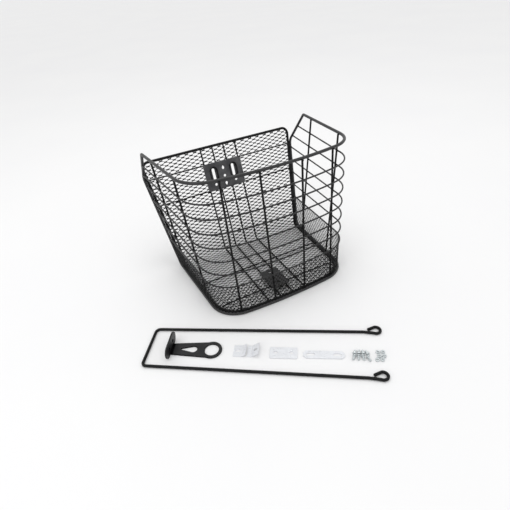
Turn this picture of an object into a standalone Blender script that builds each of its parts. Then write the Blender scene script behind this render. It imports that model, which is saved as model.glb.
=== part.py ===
"""A wire basket for a bicycle's handlebar, with its loose mounting kit laid out on the floor in front of it.

Metres, +Z up, floor at z = 0. The basket opens upwards, its front faces -Y and its back panel leans
towards +Y. The kit lies in a row that is turned about the vertical against the basket.
"""

import math

import bmesh
import bpy
from mathutils import Vector

# Fits
GAP = 0.0003

# Basket body: heights, depths and half widths are measured to the wires' centre lines.
RIM_HEIGHT = 0.290
BASE_HALF_WIDTH = 0.161
SIDE_FLARE = 0.0275
SIDE_TAPER = 0.0524
BASE_DEPTH = 0.2243
RIM_DEPTH = 0.2013
BASE_BOW = 0.0098
TOP_BOW = 0.0248
CORNER_RADIUS = 0.058

# Rim wire: one closed loop round the top, down the back edges and round the base.
LOOP_RADIUS = 0.003
RIM_BOW = 0.0180
EAR_HEIGHT = 0.2855
EAR_DEPTH = 0.002
EAR_BEND = 0.006
JOIN_HEIGHT = 0.2085
JOIN_BEND = 0.020
REAR_BEND = 0.010

# Back and bottom panel: a wire frame inside the rim wire, round one bent sheet of mesh.
PANEL_HEIGHT = 0.239
PANEL_LEAN = 0.0735
PANEL_INSET = 2 * LOOP_RADIUS + 0.0005
PANEL_CORNER = 0.014
SHEET = 0.001
SKIRT_CLEARANCE = 0.005

# Side and front grid.
LEVEL_COUNT = 7
LEVEL_LOWEST = 0.0728
LEVEL_PITCH = 0.0299
LEVEL_RADIUS = 0.0016
LEVEL_OUTSET = 0.001
UPRIGHT_RADIUS = 0.002
UPRIGHT_INSET = LEVEL_RADIUS + UPRIGHT_RADIUS + 0.0007 - LEVEL_OUTSET
FRONT_UPRIGHTS = {
    "outer_left": (-0.1125, -0.1080),
    "inner_left": (-0.0420, -0.0330),
    "inner_right": (0.0425, 0.0370),
    "outer_right": (0.1148, 0.1075),
}
SIDE_UPRIGHTS = {
    "front_left": (-0.1450, -0.1460),
    "front_right": (-0.1560, -0.1465),
    "rear_left": (-0.0360, -0.0335),
    "rear_right": (-0.0395, -0.0335),
}

# Wires that stiffen the panel: long ones bent with it, and straight ones across them.
LONG_RADIUS = 0.00175
LONG_PLACES = (-0.0470, -0.0185, 0.0095, 0.0390)
LONG_BEND = 0.008
CROSS_RADIUS = 0.0015
BACK_CROSS_PLACES = {"upper": 0.209, "lower": 0.1485}
BASE_CROSS_PLACES = {"rear": 0.1065, "front": 0.193}
LONG_OFFSET = SHEET / 2 + GAP + LONG_RADIUS
CROSS_OFFSET = LONG_OFFSET + LONG_RADIUS + GAP + CROSS_RADIUS
PLATE_OFFSET = CROSS_OFFSET + CROSS_RADIUS + GAP

# Plates on the panel, a little left of the middle. Places on the back are measured up its slope from
# the rear bottom edge.
BRACKET_MIDDLE = -0.0055
STAY_PLATE_MIDDLE = -0.0045
BRACKET_WIDTH = 0.094
BRACKET_BOTTOM = 0.147
BRACKET_TOP = 0.211
BRACKET_THICKNESS = 0.0025
BRACKET_CORNER = 0.006
POCKET_DEPTH = 0.0012
POCKET_SIZE = (0.022, 0.037)
POCKET_PLACE = (0.0245, 0.184)
HOOK_SLOT_SIZE = (0.0065, 0.028)
BOLT_HOLE_RADIUS = 0.003
CENTRE_HOLES = (0.194, 0.1757, 0.1584)
SIDE_HOLE_PLACE = (0.0255, 0.1606)
STAY_PLATE_SIZE = (0.042, 0.062)
STAY_PLATE_REAR = 0.143
STAY_PLATE_THICKNESS = 0.002
STAY_PLATE_HOLES = (0.153, 0.191)
STAY_HOLE_RADIUS = 0.003

# Places on the floor: the basket by the middle of its rear bottom edge, the kit by its bracket's ring.
BASKET_AT = (0.0648, 0.2106)
ROW_AT = (-0.1337, -0.0725)
ROW_ANGLE = math.radians(-33.3)

# Stay: a bent rod with an open eye at the end of each leg.
ROD_RADIUS = 0.00275
STAY_BACK = -0.1195
STAY_MIDDLE = 0.0022
STAY_TURN = math.radians(-0.6)
STAY_BACK_HALF = 0.044
STAY_EYE_HALF = 0.0512
STAY_BEND = 0.008
EYE_PLACE = 0.300
EYE_RADIUS = 0.008
EYE_OFFSET = 0.005
EYE_TIP = 0.014

# Head bracket.
RING_RADIUS = 0.019
RING_HOLE_RADIUS = 0.0132
ARM_LENGTH = 0.0765
ARM_HALF_WIDTH = 0.0125
ARM_THICKNESS = 0.003
DROP_BIG = (-0.0345, 0.007)
DROP_SMALL = (-0.0560, 0.0018)
FLANGE_SIZE = (0.058, 0.025)
FLANGE_THICKNESS = 0.003
FLANGE_HOLE_PLACE = 0.0105
FLANGE_HOLE_RADIUS = 0.003

# Clips, clamp plate and slotted strip.
CLIP_WIDTH = 0.026
CLIP_LONG = 0.0165
CLIP_SHORT = 0.0088
CLIP_THICKNESS = 0.0015
CLIP_ANGLE = math.radians(36)
CLIP_SLOT = (0.0095, 0.005)
CLIP_FOLDS = {"left": 0.0572, "right": 0.0752}
CLAMP_SIZE = (0.0495, 0.025)
CLAMP_PLACE = (0.1319, -0.0022)
CLAMP_THICKNESS = 0.002
CLAMP_HOLE_PLACE = 0.0142
CLAMP_HOLE_RADIUS = 0.0033
STRIP_SIZE = (0.0735, 0.0168)
STRIP_PLACE = (0.2035, -0.0042)
STRIP_THICKNESS = 0.002
STRIP_CUT = 0.005
STRIP_SLOT = (0.0150, 0.0062)
STRIP_SLOT_PLACE = 0.0235

# Fasteners, M4: place along and across the row, and heading in degrees.
SHANK_RADIUS = 0.002
SHANK_LENGTH = 0.008
HEAD_RADIUS = 0.0035
HEAD_HEIGHT = 0.0026
SCREW_SIDES = 10
SCREW_PLACES = (
    (0.2568, -0.0005, 73),
    (0.2643, -0.0005, 86),
    (0.2717, -0.0005, 98),
    (0.2792, -0.0010, 111),
    (0.2560, -0.0068, -112),
    (0.2634, -0.0068, -96),
    (0.2708, -0.0068, -80),
    (0.2792, -0.0092, -62),
)
NUT_ACROSS_FLATS = 0.007
NUT_HEIGHT = 0.0032
NUT_HOLE_RADIUS = 0.002
NUT_PLACES = (
    (0.2975, 0.0045, 10),
    (0.3062, 0.0050, 35),
    (0.2990, -0.0043, 50),
    (0.3076, -0.0038, 5),
    (0.3035, -0.0118, 22),
    (0.2946, -0.0126, 41),
)

# Fineness
WIRE_SIDES = {"thin": 1, "thick": 2}
ARC_STEPS = 5
BOW_STOPS = (1.0, 0.55, 0.28, 0.0, -0.28, -0.55, -1.0)

LEAN = math.atan2(PANEL_LEAN, PANEL_HEIGHT - LOOP_RADIUS)
PANEL_LENGTH = math.hypot(PANEL_LEAN, PANEL_HEIGHT - LOOP_RADIUS)


# Outlines and paths


def arc(centre, radius, start, end, steps):
    """Points of an arc in the plane, from start to end in degrees."""
    points = []
    for step in range(steps + 1):
        angle = math.radians(start + (end - start) * step / steps)
        points.append((centre[0] + radius * math.cos(angle), centre[1] + radius * math.sin(angle)))
    return points


def circle(centre, radius, steps):
    return arc(centre, radius, 0, 360, steps)[:-1]


def stadium(centre, length, width, along_y=False):
    """A rectangle with round ends."""
    radius = width / 2
    reach = length / 2 - radius
    if along_y:
        top = arc((centre[0], centre[1] + reach), radius, 0, 180, 6)
        return top + arc((centre[0], centre[1] - reach), radius, 180, 360, 6)
    right = arc((centre[0] + reach, centre[1]), radius, -90, 90, 6)
    return right + arc((centre[0] - reach, centre[1]), radius, 90, 270, 6)


def rounded_rectangle(centre, size, radius):
    half_x = size[0] / 2 - radius
    half_y = size[1] / 2 - radius
    points = []
    for quarter, (side_x, side_y) in enumerate(((1, 1), (-1, 1), (-1, -1), (1, -1))):
        corner = (centre[0] + side_x * half_x, centre[1] + side_y * half_y)
        points += arc(corner, radius, 90 * quarter, 90 * quarter + 90, 3)
    return points


def tangent_outline(big, small, steps):
    """Outline round two circles on the X axis, each (place, radius); the small one lies towards -X."""
    turn = math.degrees(math.acos((big[1] - small[1]) / (big[0] - small[0])))
    outline = arc((big[0], 0), big[1], turn - 180, 180 - turn, steps)
    return outline + arc((small[0], 0), small[1], 180 - turn, 180 + turn, 4)


def rounded(points, radii, closed=False, steps=ARC_STEPS):
    """The path through the points, with an arc of the given radius in place of each corner."""
    path = []
    count = len(points)
    for index, (corner, radius) in enumerate(zip(points, radii)):
        if radius == 0 or (not closed and index in (0, count - 1)):
            path.append(corner)
            continue
        back = (points[index - 1] - corner).normalized()
        ahead = (points[(index + 1) % count] - corner).normalized()
        opening = back.angle(ahead)
        centre = corner + (back + ahead).normalized() * radius / math.sin(opening / 2)
        first = corner + back * radius / math.tan(opening / 2) - centre
        last = corner + ahead * radius / math.tan(opening / 2) - centre
        turn = math.pi - opening
        for step in range(steps + 1):
            part = step / steps
            weighted = first * math.sin((1 - part) * turn) + last * math.sin(part * turn)
            path.append(centre + weighted / math.sin(turn))
    return path


# Shape of the basket's walls


def half_width(y, z):
    """Half the width between the side walls at depth y and height z. They flare upwards and backwards."""
    up = z / RIM_HEIGHT
    return BASE_HALF_WIDTH + SIDE_FLARE * up + SIDE_TAPER * (1 + up) * y


def front_depth(z):
    return BASE_DEPTH + (RIM_DEPTH - BASE_DEPTH) * z / RIM_HEIGHT


def front_bow(z):
    return BASE_BOW + (TOP_BOW - BASE_BOW) * z / RIM_HEIGHT


def front_points(z, outset=0.0, bow=None):
    """The bowed front wall at height z, from the right corner to the left one."""
    half = half_width(-front_depth(z), z) + outset
    bow = front_bow(z) if bow is None else bow
    points = []
    for stop in BOW_STOPS:
        depth = front_depth(z) + outset + bow * (1 - stop**2)
        points.append(Vector((stop * half, -depth, z)))
    return points


def front_radii(outset=0.0):
    """A corner radius at each end of the front wall and none between."""
    corner = CORNER_RADIUS + outset
    return [corner] + [0] * (len(BOW_STOPS) - 2) + [corner]


def corner_drop(past):
    """How far the wall has curved in at this distance into a corner."""
    return CORNER_RADIUS - math.sqrt(CORNER_RADIUS**2 - max(0.0, past) ** 2)


def front_y(x, z):
    """Depth of the front wall at x."""
    half = half_width(-front_depth(z), z)
    drop = corner_drop(abs(x) + CORNER_RADIUS - half)
    return -front_depth(z) - front_bow(z) * (1 - (x / half) ** 2) + drop


def side_x(y, z):
    """Half the width between the side walls at depth y."""
    return half_width(y, z) - corner_drop(CORNER_RADIUS - y - front_depth(z))


def rear_y(z):
    """Depth of the rim wire's rear edge at height z: up the back panel, then forward along the ear."""
    if z < JOIN_HEIGHT:
        return (z - LOOP_RADIUS) * math.tan(LEAN)
    join = (JOIN_HEIGHT - LOOP_RADIUS) * math.tan(LEAN)
    return join + (EAR_DEPTH - join) * (z - JOIN_HEIGHT) / (EAR_HEIGHT - JOIN_HEIGHT)


def rear_stop(z, radius):
    """How far a level wire of this radius ends in front of the rear edge's centre line."""
    step = 0.001
    slope = math.atan(abs(rear_y(z) - rear_y(z - step)) / step)
    return (LOOP_RADIUS + GAP) / math.cos(slope) + radius * math.tan(slope)


def back_point(x, up, offset):
    """A point on the back panel, up its slope from the rear bottom edge, and offset into the basket."""
    y = up * math.sin(LEAN) - offset * math.cos(LEAN)
    z = LOOP_RADIUS + up * math.cos(LEAN) + offset * math.sin(LEAN)
    return Vector((x, y, z))


def wall_path(z, outset, end_gap):
    """Round the basket at one height: right wall, front and left wall, stopping short of the rear edges."""
    rear = rear_y(z) - end_gap
    half = half_width(rear, z) + outset
    points = [Vector((half, rear, z))] + front_points(z, outset) + [Vector((-half, rear, z))]
    return rounded(points, [0] + front_radii(outset) + [0])


# Solids


def material(name, colour, roughness, metallic):
    made = bpy.data.materials.new(name)
    made.use_nodes = True
    shader = made.node_tree.nodes["Principled BSDF"]
    shader.inputs["Base Color"].default_value = (*colour, 1.0)
    shader.inputs["Roughness"].default_value = roughness
    shader.inputs["Metallic"].default_value = metallic
    return made


def painted_black(name):
    return material(name + "_paint", (0.012, 0.012, 0.013), 0.42, 0.0)


def zinc(name):
    return material(name + "_zinc", (0.76, 0.77, 0.79), 0.30, 1.0)


def add(name, data, look, parent):
    data.materials.append(look)
    made = bpy.data.objects.new(name, data)
    made.parent = parent
    bpy.context.scene.collection.objects.link(made)
    return made


def wire(name, points, radius, parent, closed=False, fineness="thin"):
    """A painted round wire along the points, as a curve with a bevel."""
    curve = bpy.data.curves.new(name, "CURVE")
    curve.dimensions = "3D"
    curve.bevel_depth = radius
    curve.bevel_resolution = WIRE_SIDES[fineness]
    curve.use_fill_caps = not closed
    spline = curve.splines.new("POLY")
    spline.points.add(len(points) - 1)
    for point, place in zip(spline.points, points):
        point.co = (*place, 1.0)
    spline.use_cyclic_u = closed
    return add(name, curve, painted_black(name), parent)


def mesh_from(name, bm):
    bmesh.ops.recalc_face_normals(bm, faces=list(bm.faces))
    mesh = bpy.data.meshes.new(name)
    bm.to_mesh(mesh)
    bm.free()
    return mesh


def plate_mesh(name, outline, holes, thickness):
    """A flat plate lying on z = 0, filled between its outline and its holes."""
    bm = bmesh.new()
    edges = []
    for ring in [outline] + holes:
        verts = [bm.verts.new((x, y, 0.0)) for x, y in ring]
        edges += [bm.edges.new(pair) for pair in zip(verts, verts[1:] + verts[:1])]
    bmesh.ops.triangle_fill(bm, use_beauty=True, edges=edges)
    raised = bmesh.ops.extrude_face_region(bm, geom=list(bm.faces))
    top = [item for item in raised["geom"] if isinstance(item, bmesh.types.BMVert)]
    bmesh.ops.translate(bm, vec=(0, 0, thickness), verts=top)
    return mesh_from(name, bm)


def turned_mesh(name, profile, sides):
    """A solid turned about the X axis. The profile is (place along X, radius) from one end to the other."""
    bm = bmesh.new()
    rings = []
    for place, radius in profile:
        ring = [(radius * a, radius * b) for a, b in arc((0, 0), 1, -90, 270, sides)[:-1]]
        rings.append([bm.verts.new((place, y, z)) for y, z in ring])
    for near, far in zip(rings, rings[1:]):
        for side in range(sides):
            other = (side + 1) % sides
            bm.faces.new((near[side], near[other], far[other], far[side]))
    bm.faces.new(rings[0])
    bm.faces.new(rings[-1])
    mesh = mesh_from(name, bm)
    mesh.shade_smooth()
    mesh.set_sharp_from_angle(angle=math.radians(35))
    return mesh


def helper(name, mesh, parent, location):
    """A hidden shape for a Boolean."""
    made = bpy.data.objects.new(name, mesh)
    made.parent = parent
    made.location = location
    made.hide_render = True
    made.display_type = "WIRE"
    bpy.context.scene.collection.objects.link(made)
    return made


def boolean(target, operation, other):
    change = target.modifiers.new(other.name, "BOOLEAN")
    change.operation = operation
    change.solver = "EXACT"
    change.object = other


def empty(name, location, rotation=(0, 0, 0), parent=None):
    made = bpy.data.objects.new(name, None)
    made.location = location
    made.rotation_euler = rotation
    made.parent = parent
    bpy.context.scene.collection.objects.link(made)
    return made


# Basket: frame wires


def rim_wire(basket):
    """Round the top, over both ears, down the back edges and round the base, as one closed loop."""
    join = rear_y(JOIN_HEIGHT)

    def rear_run(side):
        ear = Vector((side * half_width(EAR_DEPTH, EAR_HEIGHT), EAR_DEPTH, EAR_HEIGHT))
        bend = Vector((side * half_width(join, JOIN_HEIGHT), join, JOIN_HEIGHT))
        foot = Vector((side * half_width(0, LOOP_RADIUS), 0, LOOP_RADIUS))
        return [ear, bend, foot]

    bends = [EAR_BEND, JOIN_BEND, REAR_BEND]
    left_down = rear_run(-1)
    right_up = list(reversed(rear_run(1)))
    base = list(reversed(front_points(LOOP_RADIUS)))
    points = front_points(RIM_HEIGHT, bow=RIM_BOW) + left_down + base + right_up
    radii = front_radii() + bends + front_radii() + list(reversed(bends))
    wire("rim_wire", rounded(points, radii, True), LOOP_RADIUS, basket, True, "thick")


def panel_frame(basket):
    """The closed wire frame of the back and bottom panel, just inside the rim wire."""

    def side_points(side):
        top_y = PANEL_LEAN
        top_x = half_width(top_y, PANEL_HEIGHT) - PANEL_INSET
        foot_x = half_width(0, LOOP_RADIUS) - PANEL_INSET
        return [Vector((side * top_x, top_y, PANEL_HEIGHT)), Vector((side * foot_x, 0, LOOP_RADIUS))]

    left_down = side_points(-1)
    right_up = list(reversed(side_points(1)))
    base = list(reversed(front_points(LOOP_RADIUS, -PANEL_INSET)))
    points = left_down + base + right_up
    radii = [PANEL_CORNER, REAR_BEND] + front_radii(-PANEL_INSET) + [REAR_BEND, PANEL_CORNER]
    wire("panel_frame", rounded(points, radii, True), LOOP_RADIUS, basket, True, "thick")


def level_wires(basket):
    """Wires that run level round the sides and front, one above another."""
    for level in range(LEVEL_COUNT):
        z = LEVEL_LOWEST + level * LEVEL_PITCH
        path = wall_path(z, LEVEL_OUTSET, rear_stop(z, LEVEL_RADIUS))
        wire(f"level_wire_{level + 1}", path, LEVEL_RADIUS, basket)


def uprights(basket):
    """Upright wires inside the level wires, each from the base to the underside of the rim."""
    bottom = 2 * LOOP_RADIUS + GAP
    top = RIM_HEIGHT - LOOP_RADIUS - GAP
    for name, (top_x, base_x) in FRONT_UPRIGHTS.items():
        ends = [(base_x, bottom), (top_x, top)]
        points = [Vector((x, front_y(x, z) + UPRIGHT_INSET, z)) for x, z in ends]
        wire(f"upright_front_{name}", points, UPRIGHT_RADIUS, basket)
    for name, (top_y, base_y) in SIDE_UPRIGHTS.items():
        side = -1 if name.endswith("left") else 1
        dip = (RIM_HEIGHT - EAR_HEIGHT) * (RIM_DEPTH + top_y) / (RIM_DEPTH + EAR_DEPTH)
        ends = [(base_y, bottom), (top_y, top - dip)]
        points = [Vector((side * (side_x(y, z) - UPRIGHT_INSET), y, z)) for y, z in ends]
        wire(f"upright_side_{name}", points, UPRIGHT_RADIUS, basket)


# Basket: mesh


def panel_mesh(basket):
    """The back and bottom sheet, bent once, as a plain thin solid within its frame."""
    inset = PANEL_INSET + LOOP_RADIUS + GAP
    base = front_points(LOOP_RADIUS, -inset)
    foot_x = half_width(0, LOOP_RADIUS) - inset
    top = back_point(0, PANEL_LENGTH - LOOP_RADIUS - GAP, 0)
    top_x = half_width(PANEL_LEAN, PANEL_HEIGHT) - inset
    right_foot = Vector((foot_x, 0, LOOP_RADIUS))
    left_foot = Vector((-foot_x, 0, LOOP_RADIUS))
    floor_points = rounded([right_foot] + base + [left_foot], [0] + front_radii(-inset) + [0])
    corner = PANEL_CORNER - LOOP_RADIUS
    corners = [Vector((-top_x, top.y, top.z)), Vector((top_x, top.y, top.z))]
    back_points = rounded([left_foot] + corners + [right_foot], [0, corner, corner, 0])

    bm = bmesh.new()
    feet = [bm.verts.new(right_foot), bm.verts.new(left_foot)]
    around_floor = [bm.verts.new(point) for point in floor_points[1:-1]]
    around_back = [bm.verts.new(point) for point in back_points[1:-1]]
    bm.faces.new([feet[0]] + around_floor + [feet[1]])
    bm.faces.new([feet[1]] + around_back + [feet[0]])
    sheet = add("panel_mesh", mesh_from("panel_mesh", bm), painted_black("panel_mesh"), basket)
    thicken = sheet.modifiers.new("thickness", "SOLIDIFY")
    thicken.thickness = SHEET
    thicken.offset = 0.0
    thicken.use_even_offset = True


def skirt_mesh(basket):
    """The band of mesh round the foot of the side and front walls, under the lowest level wire."""
    low = 2 * LOOP_RADIUS + GAP
    high = LEVEL_LOWEST - LEVEL_RADIUS - GAP
    bm = bmesh.new()
    rails = []
    for z, side in ((low, -1), (low, 1), (high, 1), (high, -1)):
        clearance = SKIRT_CLEARANCE if z == low else 0.0
        path = wall_path(z, side * SHEET / 2, rear_stop(z, SHEET) + clearance)
        rails.append([bm.verts.new(point) for point in path])
    for rail, other in zip(rails, rails[1:] + rails[:1]):
        for index in range(len(rail) - 1):
            bm.faces.new((rail[index], rail[index + 1], other[index + 1], other[index]))
    bm.faces.new([rail[0] for rail in rails])
    bm.faces.new([rail[-1] for rail in rails])
    add("skirt_mesh", mesh_from("skirt_mesh", bm), painted_black("skirt_mesh"), basket)


# Basket: stiffening wires and plates


def long_wires(basket):
    """Wires bent with the panel: down the back inside the mesh, then forward along the bottom."""
    end_gap = LOOP_RADIUS + GAP
    height = LOOP_RADIUS + LONG_OFFSET
    rise = (LONG_OFFSET - LONG_OFFSET * math.sin(LEAN)) / math.cos(LEAN)
    for number, x in enumerate(LONG_PLACES, 1):
        front = Vector((x, front_y(x, LOOP_RADIUS) + PANEL_INSET + end_gap, height))
        corner = back_point(x, rise, LONG_OFFSET)
        top = back_point(x, PANEL_LENGTH - end_gap, LONG_OFFSET)
        path = rounded([front, corner, top], [0, LONG_BEND, 0])
        wire(f"long_wire_{number}", path, LONG_RADIUS, basket)


def cross_wires(basket):
    """Straight wires across the long ones, two on the back and two on the bottom."""
    for name, up in BACK_CROSS_PLACES.items():
        middle = back_point(0, up, CROSS_OFFSET)
        flat = back_point(0, up, 0)
        reach = half_width(flat.y, flat.z) - PANEL_INSET
        ends = [Vector((side * reach, middle.y, middle.z)) for side in (1, -1)]
        wire(f"back_cross_wire_{name}", ends, CROSS_RADIUS, basket)
    for name, depth in BASE_CROSS_PLACES.items():
        reach = side_x(-depth, LOOP_RADIUS) - PANEL_INSET
        ends = [Vector((side * reach, -depth, LOOP_RADIUS + CROSS_OFFSET)) for side in (1, -1)]
        wire(f"base_cross_wire_{name}", ends, CROSS_RADIUS, basket)


def back_bracket(back):
    """The plate that the head bracket hooks on: two pockets with a slot in each, and five bolt holes."""
    size = (BRACKET_WIDTH, BRACKET_TOP - BRACKET_BOTTOM)
    outline = rounded_rectangle((0, (BRACKET_TOP + BRACKET_BOTTOM) / 2), size, BRACKET_CORNER)
    holes = [circle((0, up), BOLT_HOLE_RADIUS, 10) for up in CENTRE_HOLES]
    for side in (-1, 1):
        place = (side * POCKET_PLACE[0], POCKET_PLACE[1])
        holes.append(stadium(place, HOOK_SLOT_SIZE[1], HOOK_SLOT_SIZE[0], along_y=True))
        holes.append(circle((side * SIDE_HOLE_PLACE[0], SIDE_HOLE_PLACE[1]), BOLT_HOLE_RADIUS, 10))
    mesh = plate_mesh("back_bracket", outline, holes, BRACKET_THICKNESS)
    plate = add("back_bracket", mesh, painted_black("back_bracket"), back)
    plate.location = (BRACKET_MIDDLE, 0, PLATE_OFFSET)
    for side, side_name in ((-1, "left"), (1, "right")):
        place = (side * POCKET_PLACE[0], POCKET_PLACE[1])
        pocket = stadium(place, POCKET_SIZE[1], POCKET_SIZE[0], along_y=True)
        cutter = plate_mesh(f"pocket_{side_name}", pocket, [], BRACKET_THICKNESS)
        floor = PLATE_OFFSET + BRACKET_THICKNESS - POCKET_DEPTH
        place = (BRACKET_MIDDLE, 0, floor)
        boolean(plate, "DIFFERENCE", helper(f"pocket_{side_name}", cutter, back, place))


def stay_plate(basket):
    """The plate on the bottom that the stay's clamp is bolted to."""
    middle = -STAY_PLATE_REAR - STAY_PLATE_SIZE[1] / 2
    outline = rounded_rectangle((0, middle), STAY_PLATE_SIZE, 0.004)
    holes = [circle((0, -depth), STAY_HOLE_RADIUS, 10) for depth in STAY_PLATE_HOLES]
    mesh = plate_mesh("stay_plate", outline, holes, STAY_PLATE_THICKNESS)
    plate = add("stay_plate", mesh, painted_black("stay_plate"), basket)
    plate.location = (STAY_PLATE_MIDDLE, 0, LOOP_RADIUS + PLATE_OFFSET)


# Mounting kit on the floor


def stay(row):
    """The rod that runs from under the basket to the front axle, bent to a U, with an open eye on each leg."""

    def leg(side):
        """From the back corner to the tip of the eye. Both eyes curl the same way."""
        back = Vector((STAY_BACK, side * STAY_BACK_HALF, 0))
        line_y = side * STAY_EYE_HALF
        centre = (EYE_PLACE, line_y + EYE_OFFSET)
        points = [Vector((EYE_PLACE - 3 * EYE_RADIUS, line_y, 0))]
        points += [Vector((x, y, 0)) for x, y in arc(centre, EYE_RADIUS, -115, 105, 11)]
        points.append(Vector((EYE_PLACE - EYE_TIP, line_y + 2 * ROD_RADIUS + 2 * GAP, 0)))
        return back, points

    left_back, left_eye = leg(1)
    right_back, right_eye = leg(-1)
    points = list(reversed(left_eye)) + [left_back, right_back] + right_eye
    radii = [0] * len(left_eye) + [STAY_BEND, STAY_BEND] + [0] * len(right_eye)
    rod = wire("stay", rounded(points, radii), ROD_RADIUS, row, False, "thick")
    rod.location = (0, STAY_MIDDLE, ROD_RADIUS)
    rod.rotation_euler = (0, 0, STAY_TURN)


def head_bracket(row):
    """A flat arm from a ring, which sits on the steering head, to an upright oval flange."""
    reach = math.hypot(ARM_LENGTH, ARM_HALF_WIDTH)
    touch = math.degrees(math.acos(RING_RADIUS / reach))
    touch += math.degrees(math.atan2(ARM_HALF_WIDTH, -ARM_LENGTH)) - 180
    ring = arc((0, 0), RING_RADIUS, -180 - touch + 2 * touch, 180 - touch, 20)
    outline = ring + [(-ARM_LENGTH, ARM_HALF_WIDTH), (-ARM_LENGTH, -ARM_HALF_WIDTH)]
    holes = [circle((0, 0), RING_HOLE_RADIUS, 20), tangent_outline(DROP_BIG, DROP_SMALL, 8)]
    mesh = plate_mesh("head_bracket", outline, holes, ARM_THICKNESS)
    bracket = add("head_bracket", mesh, painted_black("head_bracket"), row)
    flange_outline = stadium((0, 0), *FLANGE_SIZE)
    flange_holes = [circle((side * FLANGE_HOLE_PLACE, 0), FLANGE_HOLE_RADIUS, 10) for side in (-1, 1)]
    flange_mesh = plate_mesh("flange", flange_outline, flange_holes, FLANGE_THICKNESS)
    place = (-ARM_LENGTH - FLANGE_THICKNESS / 2, 0, FLANGE_SIZE[1] / 2)
    flange = helper("flange", flange_mesh, row, place)
    flange.rotation_euler = (math.radians(90), 0, math.radians(90))
    boolean(bracket, "UNION", flange)


def clips(row):
    """Two identical plates, each folded once. One lies on its long leg, the other on its short leg."""
    fold = CLIP_THICKNESS * math.tan(CLIP_ANGLE / 2)
    end_x = CLIP_SHORT * math.cos(CLIP_ANGLE)
    end_z = CLIP_SHORT * math.sin(CLIP_ANGLE)
    profile = [
        (-CLIP_LONG, 0),
        (0, 0),
        (end_x, end_z),
        (end_x - CLIP_THICKNESS * math.sin(CLIP_ANGLE), end_z + CLIP_THICKNESS * math.cos(CLIP_ANGLE)),
        (-fold, CLIP_THICKNESS),
        (-CLIP_LONG, CLIP_THICKNESS),
    ]
    for side, place in CLIP_FOLDS.items():
        holder = empty(f"clip_{side}_place", (place, 0, 0), parent=row)
        if side == "right":
            holder.rotation_euler = (0, CLIP_ANGLE, math.radians(180))
        mesh = plate_mesh(f"clip_{side}", profile, [], CLIP_WIDTH)
        clip = add(f"clip_{side}", mesh, zinc(f"clip_{side}"), holder)
        clip.rotation_euler = (math.radians(90), 0, 0)
        clip.location = (0, CLIP_WIDTH / 2, 0)
        slot = stadium((-CLIP_LONG / 2, 0), *CLIP_SLOT)
        cutter = plate_mesh(f"clip_slot_{side}", slot, [], 3 * CLIP_THICKNESS)
        boolean(clip, "DIFFERENCE", helper(f"clip_slot_{side}", cutter, holder, (0, 0, -CLIP_THICKNESS)))


def clamp_plate(row):
    """A rectangular plate with two holes, which clamps the stay."""
    holes = [circle((side * CLAMP_HOLE_PLACE, 0), CLAMP_HOLE_RADIUS, 12) for side in (-1, 1)]
    outline = rounded_rectangle((0, 0), CLAMP_SIZE, 0.0015)
    mesh = plate_mesh("clamp_plate", outline, holes, CLAMP_THICKNESS)
    plate = add("clamp_plate", mesh, zinc("clamp_plate"), row)
    plate.location = (*CLAMP_PLACE, 0)


def slotted_strip(row):
    """A strip with cut corners and a slot near each end."""
    half_x = STRIP_SIZE[0] / 2
    half_y = STRIP_SIZE[1] / 2
    outline = []
    for side_x, side_y in ((1, 1), (-1, 1), (-1, -1), (1, -1)):
        long_side = (side_x * (half_x - STRIP_CUT), side_y * half_y)
        short_side = (side_x * half_x, side_y * (half_y - STRIP_CUT))
        outline += [short_side, long_side] if side_x == side_y else [long_side, short_side]
    holes = [stadium((side * STRIP_SLOT_PLACE, 0), *STRIP_SLOT) for side in (-1, 1)]
    mesh = plate_mesh("slotted_strip", outline, holes, STRIP_THICKNESS)
    strip = add("slotted_strip", mesh, zinc("slotted_strip"), row)
    strip.location = (*STRIP_PLACE, 0)


def screws(row):
    """Pan head screws, each lying on its head's rim and the end of its shank."""
    tilt = math.atan2(HEAD_RADIUS - SHANK_RADIUS, SHANK_LENGTH)
    profile = (
        (-HEAD_HEIGHT, 0.7 * HEAD_RADIUS),
        (-0.7 * HEAD_HEIGHT, HEAD_RADIUS),
        (0, HEAD_RADIUS),
        (0, SHANK_RADIUS),
        (SHANK_LENGTH, SHANK_RADIUS),
    )
    for number, (along, across, heading) in enumerate(SCREW_PLACES, 1):
        mesh = turned_mesh(f"screw_{number}", profile, SCREW_SIDES)
        screw = add(f"screw_{number}", mesh, zinc(f"screw_{number}"), row)
        screw.location = (along, across, HEAD_RADIUS * math.cos(tilt))
        screw.rotation_euler = (0, tilt, math.radians(heading))


def nuts(row):
    """Plain hexagon nuts lying flat."""
    corner = NUT_ACROSS_FLATS / math.sqrt(3)
    for number, (along, across, heading) in enumerate(NUT_PLACES, 1):
        hole = circle((0, 0), NUT_HOLE_RADIUS, 10)
        mesh = plate_mesh(f"nut_{number}", circle((0, 0), corner, 6), [hole], NUT_HEIGHT)
        nut = add(f"nut_{number}", mesh, zinc(f"nut_{number}"), row)
        nut.location = (along, across, 0)
        nut.rotation_euler = (0, 0, math.radians(heading))


def build():
    for old in list(bpy.data.objects):
        bpy.data.objects.remove(old, do_unlink=True)
    basket = empty("basket", (*BASKET_AT, 0))
    back = empty("back_plane", (0, 0, LOOP_RADIUS), (math.pi / 2 - LEAN, 0, 0), basket)
    row = empty("kit_row", (*ROW_AT, 0), (0, 0, ROW_ANGLE))
    rim_wire(basket)
    panel_frame(basket)
    level_wires(basket)
    uprights(basket)
    panel_mesh(basket)
    skirt_mesh(basket)
    long_wires(basket)
    cross_wires(basket)
    back_bracket(back)
    stay_plate(basket)
    stay(row)
    head_bracket(row)
    clips(row)
    clamp_plate(row)
    slotted_strip(row)
    screws(row)
    nuts(row)


build()
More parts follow.
